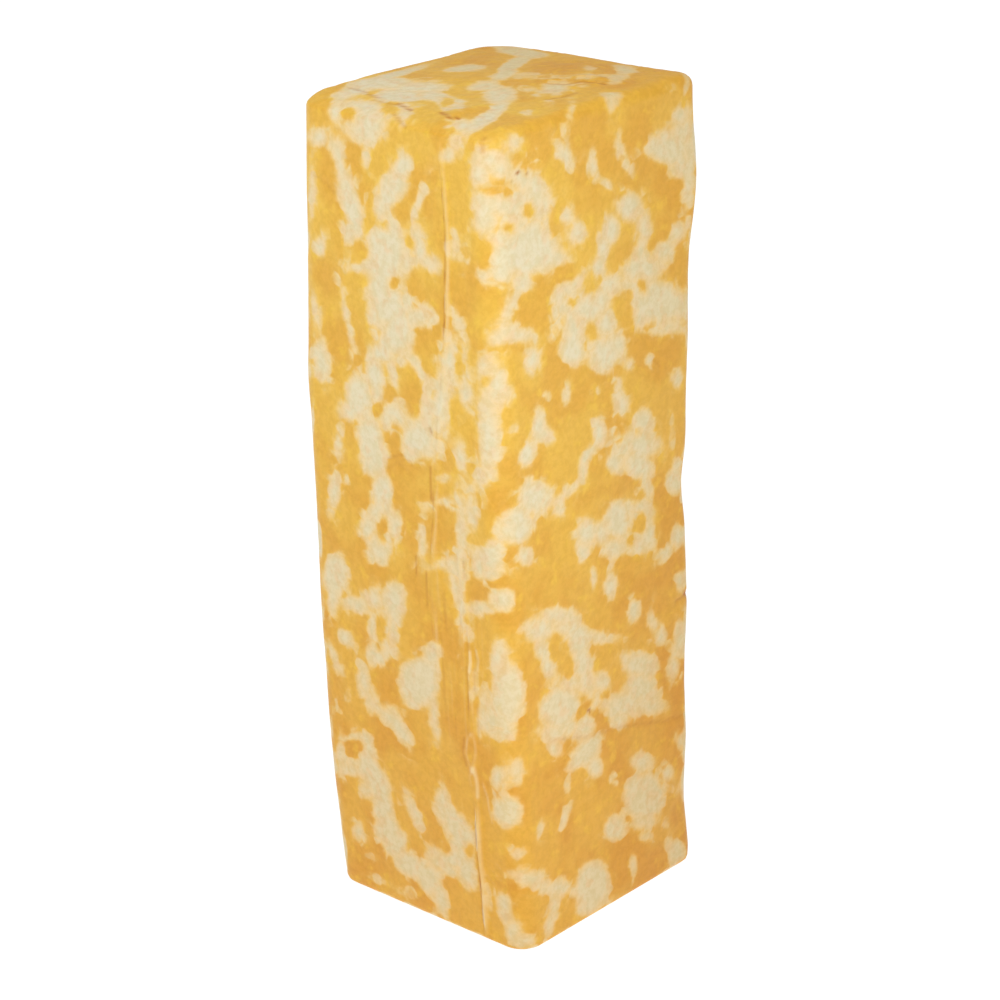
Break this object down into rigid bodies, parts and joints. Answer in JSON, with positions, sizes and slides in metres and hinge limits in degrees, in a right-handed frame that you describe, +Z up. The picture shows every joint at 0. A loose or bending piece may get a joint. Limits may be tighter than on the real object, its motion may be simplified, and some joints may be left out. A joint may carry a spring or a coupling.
{
  "type": "loaf of marbled cheese",
  "caption": "Whole unwrapped loaf of colby jack cheese, a tall block with rounded edges, standing on its end, with marbled pale and orange curd and thin fold ridges down one face.",
  "frame": {"origin": "middle of the loaf's bounding box, at its foot, where it stands", "axes": "+Z up along the loaf's length; the plain front face looks along -Y and the face with the fold ridges along -X"},
  "size_m": [0.0968, 0.088, 0.2774],
  "materials": {
    "marbled_cheese": "Smooth moist cheese, pale cream and deep orange-yellow curds pressed together in a marbled pattern, low satin sheen"
  },
  "bodies": {
    "root": {"cheese_loaf": "marbled_cheese"}
  },
  "joints": []
}
